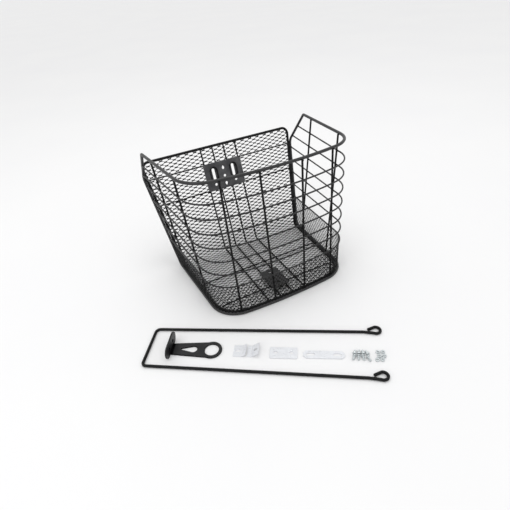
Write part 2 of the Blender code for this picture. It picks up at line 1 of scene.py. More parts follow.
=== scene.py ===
"""A bicycle's wire handlebar basket and its mounting kit in detail, laid out on a pale floor.

Metres, +Z up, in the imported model's frame.
"""

import bisect
import math

import bmesh
import bpy
from mathutils import Matrix, Vector


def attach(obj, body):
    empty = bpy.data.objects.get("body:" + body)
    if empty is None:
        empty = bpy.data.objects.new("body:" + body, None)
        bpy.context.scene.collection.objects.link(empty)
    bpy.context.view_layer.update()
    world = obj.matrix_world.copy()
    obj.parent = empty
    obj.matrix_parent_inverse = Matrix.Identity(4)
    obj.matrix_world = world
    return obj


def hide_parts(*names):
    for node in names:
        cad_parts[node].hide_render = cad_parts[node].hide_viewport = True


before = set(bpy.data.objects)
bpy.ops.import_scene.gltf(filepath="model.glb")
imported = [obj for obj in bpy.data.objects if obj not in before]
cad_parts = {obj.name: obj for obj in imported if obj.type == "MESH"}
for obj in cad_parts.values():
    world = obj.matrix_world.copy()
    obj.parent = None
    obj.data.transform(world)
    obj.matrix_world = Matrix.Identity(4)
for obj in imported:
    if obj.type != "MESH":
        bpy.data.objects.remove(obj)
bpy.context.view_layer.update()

# Basket body: heights, depths and half widths are measured to the wires' centre lines.
RIM_HEIGHT = 0.290
BASE_HALF_WIDTH = 0.161
SIDE_FLARE = 0.0275
SIDE_TAPER = 0.0524
BASE_DEPTH = 0.2243
RIM_DEPTH = 0.2013
BASE_BOW = 0.0098
TOP_BOW = 0.0248
CORNER_RADIUS = 0.058

# Rim wire and panel frame
LOOP_RADIUS = 0.003
RIM_BOW = 0.0180
EAR_HEIGHT = 0.2855
EAR_DEPTH = 0.002
EAR_BEND = 0.006
JOIN_HEIGHT = 0.2085
JOIN_BEND = 0.020
REAR_BEND = 0.010
PANEL_HEIGHT = 0.239
PANEL_LEAN = 0.0735
PANEL_INSET = 0.0065
PANEL_CORNER = 0.014
LEAN = math.atan2(PANEL_LEAN, PANEL_HEIGHT - LOOP_RADIUS)
PANEL_TURN = math.pi / 2 - LEAN
PANEL_LENGTH = math.hypot(PANEL_LEAN, PANEL_HEIGHT - LOOP_RADIUS)

# Side and front grid
LEVEL_COUNT = 7
LEVEL_LOWEST = 0.0728
LEVEL_PITCH = 0.0299
LEVEL_RADIUS = 0.0016
LEVEL_OUTSET = 0.001
LEVEL_GAP = LOOP_RADIUS - 0.001
UPRIGHT_RADIUS = 0.002
UPRIGHT_INSET = LEVEL_RADIUS + UPRIGHT_RADIUS - LEVEL_OUTSET - 0.0001
UPRIGHTS = {
    "upright_front_outer_left": (-0.1125, -0.1080),
    "upright_front_inner_left": (-0.0420, -0.0330),
    "upright_front_inner_right": (0.0425, 0.0370),
    "upright_front_outer_right": (0.1148, 0.1075),
    "upright_side_front_left": (-0.1450, -0.1460),
    "upright_side_front_right": (-0.1560, -0.1465),
    "upright_side_rear_left": (-0.0360, -0.0335),
    "upright_side_rear_right": (-0.0395, -0.0335),
}

# Wires on the panel, whose places run up the back's slope from the rear bottom edge, and forward below zero.
LONG_RADIUS = 0.00175
LONG_PLACES = (-0.0470, -0.0185, 0.0095, 0.0390)
LONG_BEND = 0.008
LONG_OFFSET = 0.00255
CROSS_RADIUS = 0.0015
CROSS_OFFSET = 0.0061
CROSS_DIP = 0.014
CROSS_BEND = 0.02
CROSS_TOUCH = 0.002
CROSS_PLACES = {
    "back_cross_wire_upper": 0.209,
    "back_cross_wire_lower": 0.1485,
    "base_cross_wire_rear": -0.1065,
    "base_cross_wire_front": -0.193,
}
PLATE_OFFSET = 0.0079
PLATE_EDGE = 0.0004

# Weld beads: half the size across, up and outward
WELD_LIFT = 0.0001
WELD_SIZES = {
    "level": (0.0019, 0.0017, 0.0011),
    "level_end": (0.0022, 0.0022, 0.0016),
    "rim": (0.0021, 0.0022, 0.0016),
    "foot": (0.0024, 0.0026, 0.0018),
    "cross": (0.0017, 0.0016, 0.0009),
}

# Expanded metal: staggered openings, longer across the basket than up it, and smaller in the skirt.
# Pitch and half size are along and across, and the lean is how far an opening's edge stands off the sheet.
PANEL_OPENINGS = {
    "pitch": (0.0200, 0.0085),
    "half": (0.0068, 0.0029),
    "power": 1.7,
    "side_points": 4,
    "thickness": 0.0008,
    "lean": 0.0004,
}
SKIRT_OPENINGS = {
    "pitch": (0.0076, 0.0100),
    "half": (0.0028, 0.0037),
    "power": 1.55,
    "side_points": 3,
    "thickness": 0.0006,
    "lean": 0.0002,
}
FOLD_RADIUS = LONG_BEND + LONG_OFFSET
SKIRT_LOW_CLEARANCE = 0.0045
SKIRT_HIGH_CLEARANCE = 0.001
SKIRT_TRIM = 0.0003

# Plates on the panel. The sheet is cut away behind the bracket, by this much inside the plate's edge.
BRACKET_WINDOW_EDGE = 0.005
BRACKET_MIDDLE = -0.0055
BRACKET_WIDTH = 0.094
BRACKET_BOTTOM = 0.147
BRACKET_TOP = 0.211
BRACKET_THICKNESS = 0.0025
BRACKET_CORNER = 0.006
BRACKET_EDGE = 0.0005
POCKET_PRESS = 0.0036
POCKET_SHEET = 0.0012
POCKET_SIZE = (0.022, 0.037)
POCKET_SLOPE = 0.0024
POCKET_PLACE = (0.0245, 0.184)
HOOK_SLOT_SIZE = (0.0065, 0.028)
BOLT_HOLE_RADIUS = 0.003
CENTRE_HOLES = (0.194, 0.1757, 0.1584)
KEYHOLE_TAIL = (0.0042, 0.0011)
SIDE_HOLE_PLACE = (0.0255, 0.1606)
STAY_PLATE_MIDDLE = -0.0045
STAY_PLATE_SIZE = (0.042, 0.062)
STAY_PLATE_CORNER = 0.004
STAY_PLATE_REAR = 0.143
STAY_PLATE_THICKNESS = 0.002
STAY_PLATE_HOLES = (0.153, 0.191)

# Places on the floor
BASKET_AT = (0.0648, 0.2106)
ROW_AT = (-0.1337, -0.0725)
ROW_ANGLE = math.radians(-33.3)

# Stay
ROD_RADIUS = 0.00275
STAY_BACK = -0.1195
STAY_MIDDLE = 0.0022
STAY_TURN = math.radians(-0.6)
STAY_BACK_HALF = 0.044
STAY_EYE_HALF = 0.0512
STAY_BEND = 0.008
EYE_PLACE = 0.300
EYE_RADIUS = 0.008
EYE_OFFSET = 0.005
EYE_TIP = 0.014
EYE_TIP_GAP = 0.0006
EYE_ARC = (-115, 105)

# Head bracket
RING_RADIUS = 0.019
RING_HOLE_RADIUS = 0.0132
ARM_LENGTH = 0.0765
ARM_HALF_WIDTH = 0.0125
ARM_THICKNESS = 0.003
ARM_EDGE = 0.0006
ARM_WELD_INSET = 0.002
ARM_WELD_RADIUS = 0.0011
DROP_BIG = (-0.0345, 0.007)
DROP_SMALL = (-0.0560, 0.0018)
FLANGE_SIZE = (0.058, 0.025)
FLANGE_THICKNESS = 0.003
FLANGE_HOLE_PLACE = 0.0105

# Clips, clamp plate and slotted strip
CLIP_WIDTH = 0.026
CLIP_LONG = 0.0165
CLIP_SHORT = 0.0088
CLIP_THICKNESS = 0.0015
CLIP_ANGLE = math.radians(36)
CLIP_SLOT = (0.0095, 0.005)
CLIP_BEND = 0.0022
CLIP_CORNER = 0.0012
CLIP_EDGE = 0.00035
CLIP_FOLDS = {"left": 0.0572, "right": 0.0752}
CLAMP_SIZE = (0.0495, 0.025)
CLAMP_PLACE = (0.1319, -0.0022)
CLAMP_THICKNESS = 0.002
CLAMP_CORNER = 0.0015
CLAMP_HOLE_PLACE = 0.0142
CLAMP_HOLE_RADIUS = 0.0033
STRIP_SIZE = (0.0735, 0.0168)
STRIP_PLACE = (0.2035, -0.0042)
STRIP_THICKNESS = 0.002
STRIP_CUT = 0.005
STRIP_SLOT = (0.0150, 0.0062)
STRIP_SLOT_PLACE = 0.0235

# Fasteners, M4: place along and across the row, and heading in degrees. Each recess step has a depth and
# shares of the reach and half width. Each dome step has shares of the radius inwards and of the height.
SHANK_RADIUS = 0.002
THREAD_DEPTH = 0.00035
THREAD_PITCH = 0.0007
SHANK_LENGTH = 0.008
HEAD_RADIUS = 0.0035
HEAD_HEIGHT = 0.0026
RECESS_REACH = 0.0019
RECESS_HALF = 0.00045
RECESS_STEPS = ((0.0, 0.95, 1.0), (0.0013, 0.5, 0.6))
HEAD_DOME = ((0.45, 1.0), (0.30, 0.93), (0.12, 0.72), (0.0, 0.42), (0.0, 0.10), (0.12, 0.0))
SCREW_ROLL = 0.7
SCREW_PLACES = (
    (0.2568, -0.0005, 73),
    (0.2643, -0.0005, 86),
    (0.2717, -0.0005, 98),
    (0.2792, -0.0010, 111),
    (0.2560, -0.0068, -112),
    (0.2634, -0.0068, -96),
    (0.2708, -0.0068, -80),
    (0.2792, -0.0092, -62),
)
NUT_ACROSS_FLATS = 0.007
NUT_HEIGHT = 0.0032
NUT_LAND_SHARE = 0.94
NUT_CHAMFER = math.radians(30)
THREAD_CHAMFER = 0.0003
BORE_FLARE = 0.00025
NUT_PLACES = (
    (0.2975, 0.0045, 10),
    (0.3062, 0.0050, 35),
    (0.2990, -0.0043, 50),
    (0.3076, -0.0038, 5),
    (0.3035, -0.0118, 22),
    (0.2946, -0.0126, 41),
)

# Colours
BLACK = (0.004, 0.004, 0.0045)
# Painted shade: crevices and recesses darken to this colour over this range of the ambient occlusion mask.
CREVICE_PAINTED_SHADE = (0.0012, 0.0012, 0.0013)
CREVICE_SHADE_RANGE = (0.84, 0.99)
WORN_GREY = (0.040, 0.039, 0.038)
PAPER = (0.86, 0.86, 0.865)
PAPER_LIGHT = (0.86, 0.86, 0.86)
PAPER_SHADE = (0.845, 0.845, 0.85)

# Each black coat has a tone, worn spots, gloss and the reach of its painted crevice shade. The tone sets
# real dust patches, and is also set lighter on the parts that face the light (the bracket most, then the
# rim, level wires and plates), as a painted highlight.
BLACK_PAINTS = {
    "rim": (0.022, 0.00, 0.45, 0.0),
    "frame": (0.006, 0.00, 0.18, 0.0),
    "grid": (0.006, 0.01, 0.14, 0.0),
    "levels": (0.016, 0.00, 0.36, 0.0),
    "bracket": (0.075, 0.03, 0.45, 0.014),
    "plates": (0.014, 0.02, 0.35, 0.006),
    "mesh": (0.005, 0.01, 0.10, 0.0),
}
# Each zinc plate has a tint, the fineness of its scratches and its shine.
ZINC_PLATES = {
    "plates": ((0.80, 0.815, 0.845), 900.0, 0.45),
    "fasteners": ((0.66, 0.70, 0.71), 1500.0, 0.9),
}

# Camera, from the basket's rear bottom edge
CAMERA_PLACE = (-0.3165, -0.7930, 0.5756)
CAMERA_YAW = math.radians(-24.91)
CAMERA_PITCH = math.radians(34.86)
CAMERA_ROLL = math.radians(-5.18)
CAMERA_LENS = 28.76
CAMERA_SHIFT = (-0.0127, -0.0137)

# Floor, room and lights: each light has a place, a target, a size and a power.
FLOOR_HALF = 60.0
FLOOR_GAP = 0.0001
WORLD_LOW = 0.86
WORLD_HIGH = 1.00
WORLD_HIGH_FROM = 0.6
LIGHTS = {
    "overhead": ((0.1, 0.3, 2.2), (0.0, 0.05, 0.0), 1.2, 8.0),
    "left_fill": ((-1.6, -0.8, 1.4), (0.0, 0.0, 0.1), 1.2, 3.5),
}

# Signs of x and y in each quarter of a turn
QUARTERS = ((1, 1), (-1, 1), (-1, -1), (1, -1))

# Edges sharper than this many degrees stay crisp
WIRE_SHARP = 60
PLATE_SHARP = 20
BRACKET_SHARP = 28
MESH_SHARP = 40
WELD_SHARP = 80
NUT_SHARP = 25

# Fineness
BOW_STOPS = (1.0, 0.55, 0.28, 0.0, -0.28, -0.55, -1.0)
BOW_EASE = 0.019
ARC_STEPS = 12
WIRE_SIDES = 14
UPRIGHT_STEPS = 24
LOOP_SIDES = 18
END_ROUNDING = ((0.22, 0.93), (0.35, 0.75))
HOLE_SIDES = 32
RING_SIDES = 48
SLOT_END_STEPS = 14
CLIP_BEND_STEPS = 6
CORNER_STEPS = 6
EYE_STEPS = 33
SHEET_CORNER_STEPS = 5
TANGENT_STEPS = (20, 8)
RAIL_STEP = 0.004
THREAD_SIDES = 24
THREAD_STEPS = 4
SCREW_SIDES = 20
ARM_WELD_SIDES = 10
NUT_SIDES = 48
MITRE_LIMIT = 0.3
CUT_TOLERANCE = 1e-7
SHORTEST_CUT = 1e-5
WELD_DISTANCE = 1e-6
POST_KEY_SCALE = 1e7


# Places


def moved(x, y, z=0.0):
    return Matrix.Translation((x, y, z))


def turned(angle, axis="Z"):
    return Matrix.Rotation(angle, 4, axis)


BASKET = moved(*BASKET_AT)
ROW = moved(*ROW_AT) @ turned(ROW_ANGLE)


# Outlines and paths


def polar(radius, angle):
    return radius * math.cos(angle), radius * math.sin(angle)


def arc(centre, radius, start, end, steps):
    """Points of an arc in the plane, from start to end in degrees."""
    points = [polar(radius, math.radians(start + (end - start) * step / steps)) for step in range(steps + 1)]
    return [(centre[0] + x, centre[1] + y) for x, y in points]


def circle(centre, radius, steps=HOLE_SIDES):
    return arc(centre, radius, 0, 360, steps)[:-1]


def stadium(centre, length, width, turn=0):
    """A rectangle with round ends, turned by this many degrees."""
    outline = []
    for end in (1, -1):
        x, y = polar(end * (length - width) / 2, math.radians(turn))
        start = turn - 90 * end
        outline += arc((centre[0] + x, centre[1] + y), width / 2, start, start + 180, SLOT_END_STEPS)
    return outline


def rounded_rectangle(centre, size, radius, steps=CORNER_STEPS):
    """A rectangle with round corners, or with its corners cut off for one step."""
    points = []
    for quarter, (sign_x, sign_y) in enumerate(QUARTERS):
        x = centre[0] + sign_x * (size[0] / 2 - radius)
        y = centre[1] + sign_y * (size[1] / 2 - radius)
        points += arc((x, y), radius, 90 * quarter, 90 * quarter + 90, steps)
    return points


def tangent_outline(big, small):
    """Outline round two circles on the X axis, each (place, radius); the small one lies towards -X."""
    turn = math.degrees(math.acos((big[1] - small[1]) / (big[0] - small[0])))
    outline = arc((big[0], 0), big[1], turn - 180, 180 - turn, TANGENT_STEPS[0])
    return outline + arc((small[0], 0), small[1], 180 - turn, 180 + turn, TANGENT_STEPS[1])


def inset(outline, distance):
    """The anticlockwise outline moved inwards by this distance, or outwards if it is negative."""
    shifted = []
    for index, point in enumerate(outline):
        here = Vector(point)
        back = (here - Vector(outline[index - 1])).normalized()
        ahead = (Vector(outline[(index + 1) % len(outline)]) - here).normalized()
        middle = (back + ahead).normalized()
        inward = Vector((-middle.y, middle.x))
        shifted.append(tuple(here + inward * distance / max(MITRE_LIMIT, middle.dot(back))))
    return shifted


def rounded(points, radii, closed=False, steps=ARC_STEPS):
    """The path through the points, with an arc of the given radius in place of each corner.

    A radius of None stands for a gentle bend, eased over BOW_EASE to either side.
    """
    path = []
    count = len(points)
    for index, (corner, radius) in enumerate(zip(points, radii)):
        if radius == 0 or (not closed and index in (0, count - 1)):
            path.append(corner)
            continue
        back = (points[index - 1] - corner).normalized()
        ahead = (points[(index + 1) % count] - corner).normalized()
        opening = back.angle(ahead)
        if radius is None:
            radius = BOW_EASE * math.tan(opening / 2)
        centre = corner + (back + ahead).normalized() * radius / math.sin(opening / 2)
        first = corner + back * radius / math.tan(opening / 2) - centre
        last = corner + ahead * radius / math.tan(opening / 2) - centre
        turn = math.pi - opening
        pieces = max(3, math.ceil(steps * turn / (math.pi / 2)))
        for step in range(pieces + 1):
            part = step / pieces
            weighted = first * math.sin((1 - part) * turn) + last * math.sin(part * turn)
            path.append(centre + weighted / math.sin(turn))
    return path


# Shape of the basket's walls


def half_width(y, z):
    """Half the width between the side walls at depth y and height z. They flare upwards and backwards."""
    up = z / RIM_HEIGHT
    return BASE_HALF_WIDTH + SIDE_FLARE * up + SIDE_TAPER * (1 + up) * y


def side_point(side, y, z, outset=0.0):
    """A point on the right wall for a side of 1, or on the left wall for -1."""
    return Vector((side * (half_width(y, z) + outset), y, z))


def front_depth(z):
    return BASE_DEPTH + (RIM_DEPTH - BASE_DEPTH) * z / RIM_HEIGHT


def front_bow(z):
    return BASE_BOW + (TOP_BOW - BASE_BOW) * z / RIM_HEIGHT


def front_points(z, outset=0.0, bow=None):
    """The bowed front wall at height z, from the right corner to the left one."""
    depth = front_depth(z) + outset
    half = half_width(-front_depth(z), z) + outset
    bow = front_bow(z) if bow is None else bow
    return [Vector((stop * half, -depth - bow * (1 - stop**2), z)) for stop in BOW_STOPS]


def front_radii(outset=0.0):
    """A corner radius at each end of the front wall and gentle bends between."""
    corner = CORNER_RADIUS + outset
    return [corner] + [None] * (len(BOW_STOPS) - 2) + [corner]


def corner_drop(past):
    """How far the wall has curved in at this distance into a corner."""
    return CORNER_RADIUS - math.sqrt(CORNER_RADIUS**2 - max(0.0, past) ** 2)


def front_y(x, z):
    """Depth of the front wall at x."""
    half = half_width(-front_depth(z), z)
    drop = corner_drop(abs(x) + CORNER_RADIUS - half)
    return -front_depth(z) - front_bow(z) * (1 - (x / half) ** 2) + drop


def side_x(y, z):
    """Half the width between the side walls at depth y."""
    return half_width(y, z) - corner_drop(CORNER_RADIUS - y - front_depth(z))


def rear_y(z):
    """Depth of the rim wire's rear edge at height z: up the back panel, then forward along the ear."""
    if z < JOIN_HEIGHT:
        return (z - LOOP_RADIUS) * math.tan(LEAN)
    join = (JOIN_HEIGHT - LOOP_RADIUS) * math.tan(LEAN)
    return join + (EAR_DEPTH - join) * (z - JOIN_HEIGHT) / (EAR_HEIGHT - JOIN_HEIGHT)


def bent(v, offset, turn, radius):
    """Where a folded sheet takes the point v along it from the fold and offset inwards: along and up."""
    reach = radius * math.tan(turn / 2)
    angle = turn * min(1, max(0, (v + reach) / (2 * reach)))
    past = max(0, v - reach)
    along = min(v, -reach) + (radius - offset) * math.sin(angle) + past * math.cos(angle)
    return along, radius - (radius - offset) * math.cos(angle) + past * math.sin(angle)


def on_panel(x, v, offset):
    """A point of the panel's sheet, v up it or forward below zero, and offset from it into the basket."""
    along, up = bent(v, offset, PANEL_TURN, FOLD_RADIUS)
    return Vector((x, along, LOOP_RADIUS + up))


def wall_path(z, outset, end_gap):
    """Round the basket at one height: right wall, front and left wall, stopping short of the rear edges."""
    rear = rear_y(z) - end_gap
    ends = [side_point(side, rear, z, outset) for side in (1, -1)]
    points = ends[:1] + front_points(z, outset) + ends[1:]
    return rounded(points, [0] + front_radii(outset) + [0])


# Materials


def node_maker(tree):
    """Returns a function that adds a node, each input set to a value or joined to another node's output."""

    def node(kind, inputs=None, **settings):
        new = tree.nodes.new(kind)
        for key, value in settings.items():
            setattr(new, key, value)
        for socket, value in (inputs or {}).items():
            if isinstance(value, bpy.types.NodeSocket):
                tree.links.new(value, new.inputs[socket])
            else:
                new.inputs[socket].default_value = value
        return new

    return node


def material(name, colour, roughness, metallic=0.0, specular=0.5):
    """A new material, a maker of nodes in it, a link to its shader's inputs, and the place on the piece."""
    made = bpy.data.materials.new(name)
    made.use_nodes = True
    tree = made.node_tree
    inputs = tree.nodes["Principled BSDF"].inputs
    inputs["Base Color"].default_value = (*colour, 1.0)
    inputs["Roughness"].default_value = roughness
    inputs["Metallic"].default_value = metallic
    inputs["Specular IOR Level"].default_value = specular
    node = node_maker(tree)

    def link(output, socket):
        tree.links.new(output, inputs[socket])

    return made, node, link, node("ShaderNodeTexCoord").outputs["Object"]


def noise(node, place, scale, detail=3.0, roughness=0.5):
    inputs = {"Vector": place, "Scale": scale, "Detail": detail, "Roughness": roughness}
    return node("ShaderNodeTexNoise", inputs).outputs["Fac"]


def mapped(node, value, low, high, to_low=0.0, to_high=1.0):
    """The value, with the range from low to high spread over to_low to to_high."""
    inputs = {"Value": value, "From Min": low, "From Max": high, "To Min": to_low, "To Max": to_high}
    return node("ShaderNodeMapRange", inputs, clamp=True).outputs["Result"]


def mixed(node, factor, first, second):
    """One colour blended into another. A colour mix takes them in inputs 6 and 7, and gives output 2."""
    inputs = {0: factor}
    for place, colour in ((6, first), (7, second)):
        inputs[place] = colour if isinstance(colour, bpy.types.NodeSocket) else (*colour, 1.0)
    return node("ShaderNodeMix", inputs, data_type="RGBA").outputs[2]


def bumped(node, height, strength, distance, **more):
    inputs = {"Height": height, "Strength": strength, "Distance": distance, **more}
    return node("ShaderNodeBump", inputs).outputs["Normal"]


def black_paint(name, dust_and_lit_tone, spots, specular, crevice_shade_reach):
    """Satin black powder coat: orange peel, uneven gloss, worn specks and dust patches, on a tone that is
    partly painted light, with painted shade in the crevices.
    """
    made, node, link, place = material(name, BLACK, 0.40, specular=specular)
    patches = noise(node, place, 45.0)
    specks = noise(node, place, 1300.0, 2.0)
    peel = noise(node, place, 900.0, 2.0)
    bare = mapped(node, specks, 0.74 - spots, 0.80 - spots)
    cloudy = mapped(node, patches, 0.35, 0.70)
    # The tone is partly dust and partly painted light: it is set per part, lighter on the parts that face
    # the light.
    tone = mixed(node, cloudy, (0.4 * dust_and_lit_tone, 0.4 * dust_and_lit_tone, 0.45 * dust_and_lit_tone), (dust_and_lit_tone, dust_and_lit_tone, 1.04 * dust_and_lit_tone))
    # Painted shade: an ambient occlusion mask darkens the colour and weakens the reflection in crevices and
    # recesses.
    if crevice_shade_reach:
        air = node("ShaderNodeAmbientOcclusion", {"Distance": crevice_shade_reach}, samples=8).outputs["AO"]
        tone = mixed(node, mapped(node, air, *CREVICE_SHADE_RANGE), CREVICE_PAINTED_SHADE, tone)
        link(mapped(node, air, *CREVICE_SHADE_RANGE, 0.02, specular), "Specular IOR Level")
    link(mixed(node, bare, tone, WORN_GREY), "Base Color")
    link(mapped(node, patches, 0.30, 0.70, 0.30, 0.46), "Roughness")
    link(bumped(node, peel, 0.12, 0.0004), "Normal")
    return made


def zinc_plate(name, tint, grain, shine):
    """Bright zinc plate: cloudy tone, fine scratches along the piece, and soft dents from tumbling."""
    made, node, link, place = material(name, tint, 0.32, shine)
    row = node("ShaderNodeMapping", {"Vector": place, "Rotation": (0.0, 0.0, -ROW_ANGLE)}).outputs["Vector"]
    stretched = node("ShaderNodeMapping", {"Vector": row, "Scale": (0.12, 1.0, 1.0)}).outputs["Vector"]
    clouds = noise(node, place, 110.0)
    scratches = noise(node, stretched, grain, 3.0, 0.6)
    dents = noise(node, place, 260.0, 2.0)
    duller = tuple(0.95 * part for part in tint)
    link(mixed(node, mapped(node, clouds, 0.35, 0.68), tint, duller), "Base Color")
    link(mapped(node, scratches, 0.30, 0.70, 0.26, 0.38), "Roughness")
    fine = bumped(node, scratches, 0.02, 0.00002)
    link(bumped(node, dents, 0.02, 0.00005, Normal=fine), "Normal")
    return made


def floor_paper():
    """Pale seamless paper, with faint clouds and fibres."""
    made, node, link, place = material("floor_paper", PAPER, 0.80, specular=0.15)
    clouds = noise(node, place, 2.0)
    fibres = noise(node, place, 700.0)
    link(mixed(node, mapped(node, clouds, 0.3, 0.7), PAPER_LIGHT, PAPER_SHADE), "Base Color")
    link(bumped(node, fibres, 0.05, 0.0003), "Normal")
    return made


# Solids


def added(name, data):
    """A new object in the scene."""
    made = bpy.data.objects.new(name, data)
    bpy.context.scene.collection.objects.link(made)
    return made


def show(name, ending, bm, sharp, look, body="basket", place=BASKET):
    """The shape as a shown piece, smooth but for edges sharper than this angle, which moves with the body.

    It stands for the solid of this name. Without an ending to its own name it stands for none.
    """
    bmesh.ops.recalc_face_normals(bm, faces=list(bm.faces))
    mesh = bpy.data.meshes.new(name)
    bm.to_mesh(mesh)
    bm.free()
    mesh.shade_smooth()
    mesh.set_sharp_from_angle(angle=math.radians(sharp))
    mesh.transform(place)
    mesh.materials.append(look)
    made = added(name + ending, mesh)
    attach(made, body)
    if ending:
        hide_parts(name)


def band(bm, *rings):
    """Adds the faces between each ring of points and the next."""
    for near, far in zip(rings, rings[1:]):
        for index in range(len(near)):
            other = (index + 1) % len(near)
            bm.faces.new((near[index], near[other], far[other], far[index]))


def cut(bm, place, normal, clear=True):
    """Cuts the shape along a plane, clears what lies past it if told to, and returns the new edges."""
    everything = [*bm.verts, *bm.edges, *bm.faces]
    found = bmesh.ops.bisect_plane(
        bm, geom=everything, dist=CUT_TOLERANCE, plane_co=place, plane_no=normal, clear_outer=clear
    )
    return [item for item in found["geom_cut"] if isinstance(item, bmesh.types.BMEdge)]


def sweep(bm, path, radius, closed=False, sides=WIRE_SIDES):
    """Adds a round wire along the path, with eased ends unless it is closed."""
    count = len(path)
    tangents = []
    for index, point in enumerate(path):
        before = path[index - 1] if closed or index else point
        after = path[(index + 1) % count] if closed or index + 1 < count else point
        tangents.append((after - before).normalized())
    across = tangents[0].orthogonal().normalized()
    turns = [across]
    for before, after in zip(tangents, tangents[1:]):
        across = before.rotation_difference(after) @ across
        turns.append(across.normalized())
    drift = 0.0
    if closed:
        last = tangents[-1].rotation_difference(tangents[0]) @ turns[-1]
        drift = last.angle(turns[0])
        if tangents[0].dot(last.cross(turns[0])) < 0:
            drift = -drift
    stops = [(point, index, 1) for index, point in enumerate(path)]
    if not closed:
        for ahead, scale in END_ROUNDING:
            stops.insert(0, (path[0] - tangents[0] * ahead * radius, 0, scale))
            stops.append((path[-1] + tangents[-1] * ahead * radius, count - 1, scale))
    rings = []
    for centre, index, scale in stops:
        other = tangents[index].cross(turns[index])
        ring = []
        for side in range(sides):
            angle = 2 * math.pi * side / sides + drift * index / count
            out = turns[index] * math.cos(angle) + other * math.sin(angle)
            ring.append(bm.verts.new(centre + out * radius * scale))
        rings.append(ring)
    if closed:
        rings.append(rings[0])
    else:
        bm.faces.new(rings[0])
        bm.faces.new(rings[-1])
    band(bm, *rings)


def wire(name, path, radius, look, body="basket", place=BASKET, closed=False, sides=WIRE_SIDES):
    """A round wire that stands for the solid of the same name."""
    bm = bmesh.new()
    sweep(bm, path, radius, closed, sides)
    show(name, "_wire", bm, WIRE_SHARP, look, body, place)


def wall(bm, outline, steps):
    """Adds a band round the outline through (inset, height) steps. Returns its lowest and highest ring."""
    rings = []
    for away, height in steps:
        rings.append([bm.verts.new((x, y, height)) for x, y in inset(outline, away)])
    band(bm, *rings)
    return rings[0], rings[-1]


def fill(bm, rings):
    """Closes the area between the first ring and the others."""
    edges = []
    for ring in rings:
        for pair in zip(ring, ring[1:] + ring[:1]):
            edges.append(bm.edges.get(pair) or bm.edges.new(pair))
    bmesh.ops.triangle_fill(bm, use_beauty=True, edges=edges)


def eased(low, high, edge, side=1):
    """Steps of a wall from low to high with eased edges. Side is 1 for an outline and -1 for a hole."""
    inside = side * edge
    lower = [(inside, low), (0.3 * inside, low + 0.3 * edge), (0, low + edge)]
    upper = [(0, high - edge), (0.3 * inside, high - 0.3 * edge), (inside, high)]
    return lower + upper


def add_plate(bm, outline, holes, thickness, edge, pockets=()):
    """Adds a flat plate lying on z = 0, with eased edges. A pocket is its ring below and its ring above."""
    walls = [wall(bm, outline, eased(0, thickness, edge)), *pockets]
    walls += [wall(bm, hole, eased(0, thickness, edge, -1)) for hole in holes]
    for rings in zip(*walls):
        fill(bm, rings)


def plate(name, outline, holes, thickness, look, body, place):
    """A flat plate that stands for the solid of the same name."""
    bm = bmesh.new()
    add_plate(bm, outline, holes, thickness, PLATE_EDGE)
    show(name, "_plate", bm, PLATE_SHARP, look, body, place)


# Basket: wires


def rim_wire(look):
    """Round the top, over both ears, down the back edges and round the base, as one closed loop."""
    join = rear_y(JOIN_HEIGHT)

    def rear_run(side):
        places = ((EAR_DEPTH, EAR_HEIGHT), (join, JOIN_HEIGHT), (0, LOOP_RADIUS))
        return [side_point(side, y, z) for y, z in places]

    bends = [EAR_BEND, JOIN_BEND, REAR_BEND]
    points = front_points(RIM_HEIGHT, bow=RIM_BOW) + rear_run(-1)
    points += front_points(LOOP_RADIUS)[::-1] + rear_run(1)[::-1]
    radii = front_radii() + bends + front_radii() + bends[::-1]
    wire("rim_wire", rounded(points, radii, True), LOOP_RADIUS, look, closed=True, sides=LOOP_SIDES)


def panel_frame(look):
    """The closed wire frame of the back and bottom panel, just inside the rim wire."""

    def rear_run(side):
        places = ((PANEL_LEAN, PANEL_HEIGHT), (0, LOOP_RADIUS))
        return [side_point(side, y, z, -PANEL_INSET) for y, z in places]

    points = rear_run(-1) + front_points(LOOP_RADIUS, -PANEL_INSET)[::-1] + rear_run(1)[::-1]
    radii = [PANEL_CORNER, REAR_BEND] + front_radii(-PANEL_INSET) + [REAR_BEND, PANEL_CORNER]
    wire("panel_frame", rounded(points, radii, True), LOOP_RADIUS, look, closed=True, sides=LOOP_SIDES)


def level_height(level):
    return LEVEL_LOWEST + level * LEVEL_PITCH


def level_wires(look):
    """Wires that run level round the sides and front, butted on the rim wire's rear edges."""
    for level in range(LEVEL_COUNT):
        path = wall_path(level_height(level), LEVEL_OUTSET, LEVEL_GAP)
        wire(f"level_wire_{level + 1}", path, LEVEL_RADIUS, look)


def upright_path(name):
    """From the base wire to the rim wire, against the inside of the level wires."""
    front = name.startswith("upright_front")
    side = -1 if name.endswith("left") else 1
    top_place, base_place = UPRIGHTS[name]
    bottom = 0.75 * LOOP_RADIUS
    top = RIM_HEIGHT - 0.5 * LOOP_RADIUS
    if not front:
        top -= (RIM_HEIGHT - EAR_HEIGHT) * (RIM_DEPTH + top_place) / (RIM_DEPTH + EAR_DEPTH)
    path = []
    for step in range(UPRIGHT_STEPS + 1):
        z = bottom + (top - bottom) * step / UPRIGHT_STEPS
        place = base_place + (top_place - base_place) * step / UPRIGHT_STEPS
        if front:
            path.append(Vector((place, front_y(place, z) + UPRIGHT_INSET, z)))
        else:
            path.append(Vector((side * (side_x(place, z) - UPRIGHT_INSET), place, z)))
    return path


def uprights(look):
    for name in UPRIGHTS:
        wire(name, upright_path(name), UPRIGHT_RADIUS, look)


